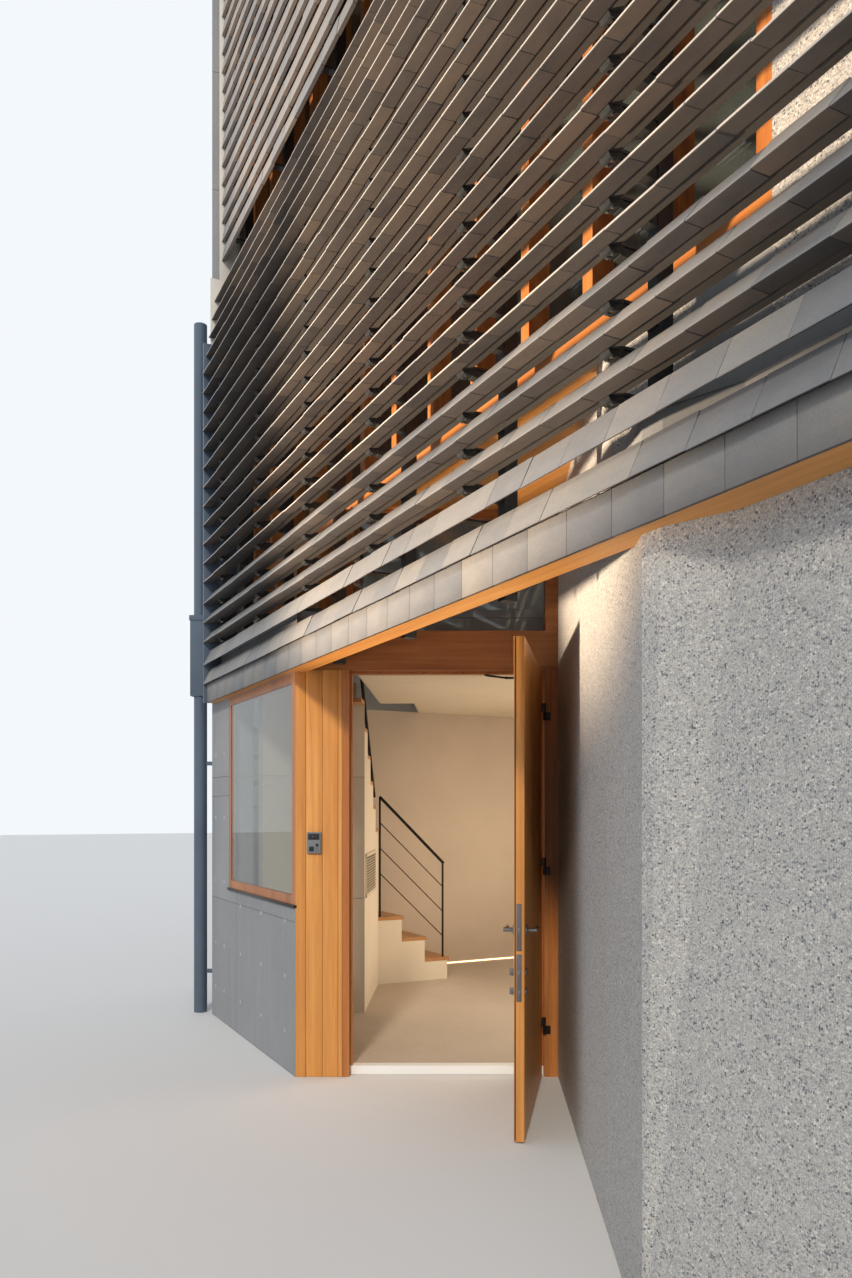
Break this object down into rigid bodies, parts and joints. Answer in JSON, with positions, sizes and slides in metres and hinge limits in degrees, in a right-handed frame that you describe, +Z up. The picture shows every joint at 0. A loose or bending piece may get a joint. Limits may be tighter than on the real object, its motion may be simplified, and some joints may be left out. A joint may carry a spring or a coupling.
{
  "type": "townhouse",
  "caption": "Three-storey concrete townhouse with a slanted entrance recess, an outward timber door and a screen of ceramic louvres over timber window walls.",
  "frame": {"origin": "on the ground at the middle of the plot's width and depth, under the ground floor slab", "axes": "+X to the right along the street, +Y from the street into the house, +Z up"},
  "size_m": [8.19, 6.4801, 8.75],
  "materials": {
    "smooth_concrete": "fair-faced, matt",
    "aggregate_concrete": "exposed aggregate, matt",
    "timber": "clear oiled, satin",
    "door_timber": "clear oiled, satin",
    "tread_timber": "oiled, satin",
    "glazing": "clear",
    "louvre_tile": "unglazed, satin",
    "dark_steel": "satin",
    "door_metal": "brushed",
    "grey_plastic": "matt",
    "painted_pipe": "satin",
    "white_stone": "honed",
    "plaster": "matt paint"
  },
  "bodies": {
    "house": {"ground_slab": "smooth_concrete", "left_party_wall": "smooth_concrete", "chamfer_wall": "smooth_concrete", "right_party_wall": "smooth_concrete", "back_wall": "smooth_concrete", "front_wall": "smooth_concrete", "recess_wall": "aggregate_concrete", "street_wall": "aggregate_concrete", "second_floor_slab": "smooth_concrete", "bay_floor": "smooth_concrete", "window_pier_wall": "smooth_concrete", "upper_street_wall": "aggregate_concrete", "third_floor_slab": "smooth_concrete", "roof_slab": "smooth_concrete", "front_window_frame": "timber", "front_window_glass": "glazing", "entry_panel": "timber", "intercom": "grey_plastic", "door_frame": "timber", "lintel_beam": "timber", "transom_frame": "timber", "transom_glass": "glazing", "door_sill": "white_stone", "door_hinges": "dark_steel", "sill_band": "timber", "second_floor_windows": "timber", "second_floor_glass": "glazing", "third_floor_windows": "timber", "third_floor_glass": "glazing", "back_windows": "timber", "back_glass": "glazing", "fascia": "louvre_tile", "screen_soffit": "timber", "low_louvres": "louvre_tile", "second_floor_louvres": "louvre_tile", "third_floor_louvres": "louvre_tile", "screen_posts": "dark_steel", "downpipe": "painted_pipe", "stair_base": "plaster", "stair_panel": "plaster", "stair_end_wall": "smooth_concrete", "stair_treads": "tread_timber", "handrail": "dark_steel"},
    "door": {"door_leaf": "door_timber", "door_hardware": "door_metal"}
  },
  "joints": [
    {"name": "entrance_door_hinge", "type": "hinge", "parent": "house", "child": "door", "pos_m": [-0.29872, -1.8954, 0], "axis": [0, 0, 1], "range_deg": [-79, 4]}
  ]
}
